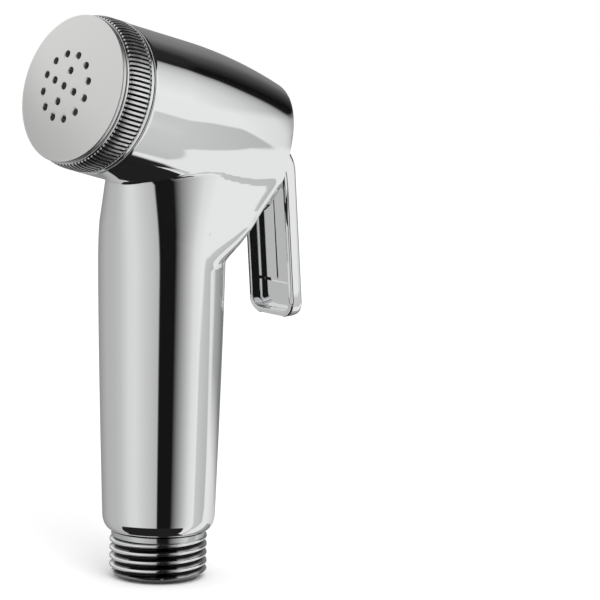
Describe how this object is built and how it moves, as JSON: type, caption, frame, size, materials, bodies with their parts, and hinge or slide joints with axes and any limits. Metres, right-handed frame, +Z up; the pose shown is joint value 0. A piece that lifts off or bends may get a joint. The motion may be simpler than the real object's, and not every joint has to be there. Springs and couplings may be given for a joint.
{
  "type": "handheld bidet sprayer",
  "caption": "Handheld bidet sprayer: round hollow handle with a threaded inlet, tilted cylindrical head with a knurled collar and pierced face, and a rear thumb lever working a sprung valve.",
  "frame": {"origin": "centre of the inlet thread's lower end", "axes": "+Z up along the handle's axis, -Y towards the spray face, +Y towards the lever, X across the symmetry plane"},
  "size_m": [0.0326, 0.0636, 0.1205],
  "materials": {
    "chrome_plate": "mirror chrome plating on moulded plastic and brass",
    "satin_plate": "satin chrome plating",
    "stainless_steel": "bright drawn",
    "turned_brass": "turned",
    "white_acetal": "moulded",
    "black_rubber": "moulded"
  },
  "bodies": {
    "sprayer": {"body": "chrome_plate", "lever_pin": "stainless_steel", "inlet_nipple": "chrome_plate", "inlet_strainer": "stainless_steel", "nipple_o_ring": "black_rubber", "water_tube": "white_acetal", "tube_lower_o_ring": "black_rubber", "tube_upper_o_ring": "black_rubber", "valve_housing": "white_acetal", "housing_o_ring": "black_rubber", "valve_cap": "white_acetal", "cap_o_ring": "black_rubber", "gland_nut": "turned_brass", "stem_o_ring": "black_rubber", "flow_diffuser": "white_acetal"},
    "lever": {"lever": "chrome_plate"},
    "stem": {"valve_stem": "turned_brass", "valve_seal": "black_rubber", "valve_spring": "stainless_steel"},
    "gasket": {"face_gasket": "black_rubber"},
    "collar": {"knurled_ring": "chrome_plate", "spray_face_plate": "satin_plate"}
  },
  "joints": [
    {"name": "lever_hinge", "type": "hinge", "parent": "sprayer", "child": "lever", "pos_m": [0, 0.02338, 0.09721], "axis": [-1, 0, 0], "range_deg": [0, 12], "stiffness_Nm_per_rad": 0.15, "springref_deg": -2.86},
    {"name": "stem_slide", "type": "slide", "parent": "sprayer", "child": "stem", "axis": [0, -0.9583, 0.2857], "range_m": [0, 0.00117], "deforming": ["valve_spring"]},
    {"name": "collar_advance", "type": "slide", "parent": "sprayer", "child": "gasket", "axis": [0, -0.9583, 0.2857], "range_m": [0, 0.003]},
    {"name": "collar_turn", "type": "hinge", "parent": "gasket", "child": "collar", "pos_m": [0, -0.0247, 0.1057], "axis": [0, -0.9583, 0.2857], "range_deg": [0, 720]}
  ],
  "couplings": [
    {"joint": "lever_hinge", "follows": "stem_slide", "rad_per_m": 178.5},
    {"joint": "collar_turn", "follows": "collar_advance", "rad_per_m": 4188.7}
  ]
}
